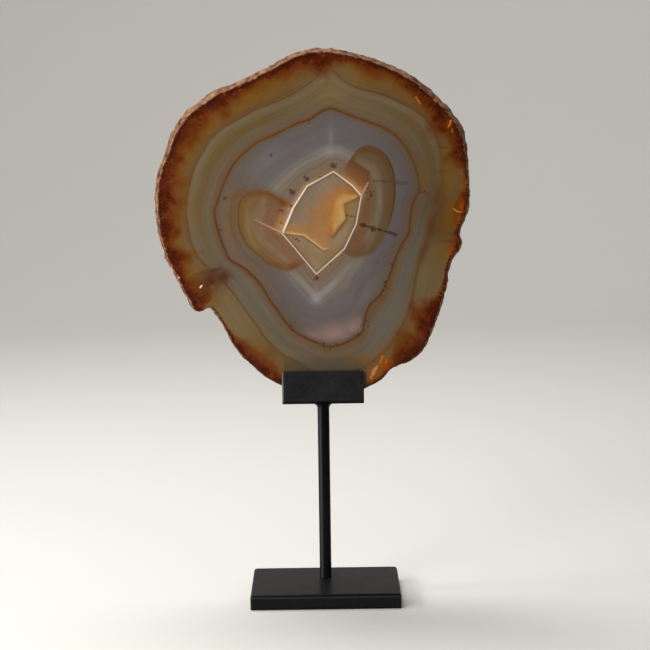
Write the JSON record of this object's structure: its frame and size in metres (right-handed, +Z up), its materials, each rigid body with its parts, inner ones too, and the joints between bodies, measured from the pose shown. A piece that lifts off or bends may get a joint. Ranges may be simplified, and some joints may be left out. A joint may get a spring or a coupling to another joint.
{
  "type": "agate slice",
  "caption": "Polished slice of banded agate standing on edge in a folded black steel cradle, held above a flat rectangular base by a slim round post.",
  "frame": {"origin": "centre of the base plate's underside", "axes": "+Z up, +X to the right as seen from the front, -Y towards the viewer, out of the slice's polished front face"},
  "size_m": [0.2101, 0.07, 0.3679],
  "materials": {
    "agate": "polished, banded in grey, beige and amber",
    "cradle_steel": "satin black",
    "post_steel": "satin black",
    "base_steel": "semi-gloss black"
  },
  "bodies": {
    "root": {"agate_slice": "agate", "cradle": "cradle_steel", "post": "post_steel", "base": "base_steel"}
  },
  "joints": []
}
